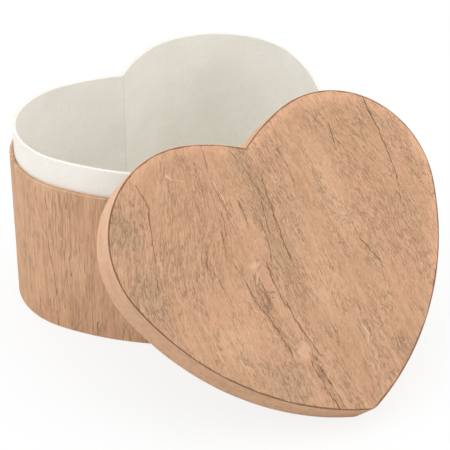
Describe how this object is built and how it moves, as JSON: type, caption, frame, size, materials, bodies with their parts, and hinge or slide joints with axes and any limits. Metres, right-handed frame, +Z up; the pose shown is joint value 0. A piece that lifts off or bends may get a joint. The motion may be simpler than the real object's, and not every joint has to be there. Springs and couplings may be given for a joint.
{
  "type": "heart-shaped gift box",
  "caption": "Heart-shaped rigid paperboard box with a white inner neck; its shallow wood-look lid lifts off and leans on the box.",
  "frame": {"origin": "on the surface that the box stands on, midway between the centres of the two lobes' round ends", "axes": "+Z up; +Y from the heart's tip towards its cleft; X across both lobes. The box is symmetric about X = 0, and the lid leans against its tip from the -Y side"},
  "size_m": [0.2175, 0.2483, 0.1317],
  "materials": {
    "wood_paper": "matte embossed wood-look print",
    "rim_paper": "matte wood-look print, lighter and smoother",
    "white_paper": "matte off-white lining paper",
    "greyboard": "raw greyboard",
    "stay_tape": "gummed kraft paper"
  },
  "bodies": {
    "box": {"base_sheet": "wood_paper", "base_board": "greyboard", "wall_board": "greyboard", "wall_stay": "stay_tape", "wall_wrap": "wood_paper", "neck_board": "greyboard", "neck_stay": "stay_tape", "neck_wrap": "white_paper", "floor_lining": "white_paper"},
    "lid": {"lid_board": "greyboard", "lid_rim_board": "greyboard", "lid_rim_wrap": "rim_paper", "lid_lining": "white_paper", "lid_sheet": "wood_paper"}
  },
  "joints": [
    {"name": "lid_lift", "type": "slide", "parent": "box", "child": "lid", "axis": [0, 0, 1], "range_m": [0, 0.12]}
  ]
}
